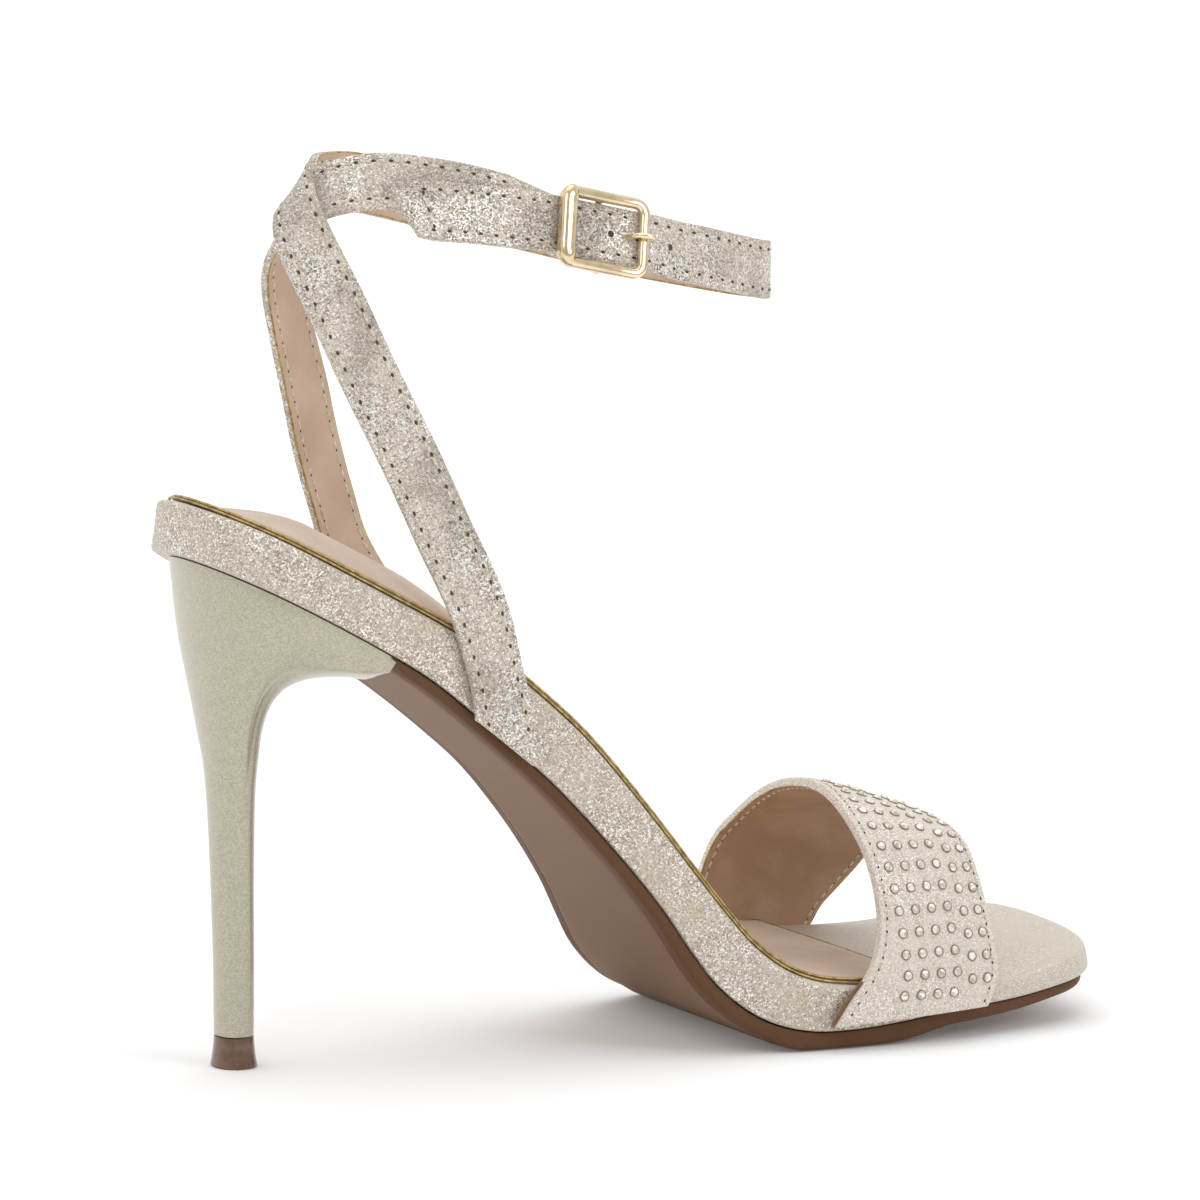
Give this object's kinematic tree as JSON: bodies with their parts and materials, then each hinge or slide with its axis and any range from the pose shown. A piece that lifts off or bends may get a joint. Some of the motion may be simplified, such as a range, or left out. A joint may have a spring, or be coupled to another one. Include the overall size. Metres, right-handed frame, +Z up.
{
  "type": "strappy heeled sandal",
  "caption": "Right high-heeled sandal: a wide toe band, crossing ankle straps with a side buckle, a wrapped arched sole board and a slim stiletto heel.",
  "frame": {"origin": "bottom centre of the bounding box, on the floor plane", "axes": "+X to the toe, +Y to the wearer's left, which is the inner side of this right shoe, +Z up"},
  "size_m": [0.1974, 0.0806, 0.177],
  "materials": {
    "heel": "pearl lacquer",
    "top_lift": "polished edge",
    "outsole": "matt",
    "insole": "glitter-faced cover",
    "sock": "matt",
    "toe_band": "metallic fabric",
    "ankle_straps": "metallic foil fabric",
    "buckle": "polished pale gold"
  },
  "bodies": {
    "root": {"heel": "heel", "top_lift": "top_lift", "outsole": "outsole", "insole": "insole", "sock": "sock", "toe_band": "toe_band", "ankle_straps": "ankle_straps", "buckle_frame": "buckle", "buckle_prong": "buckle"}
  },
  "joints": []
}
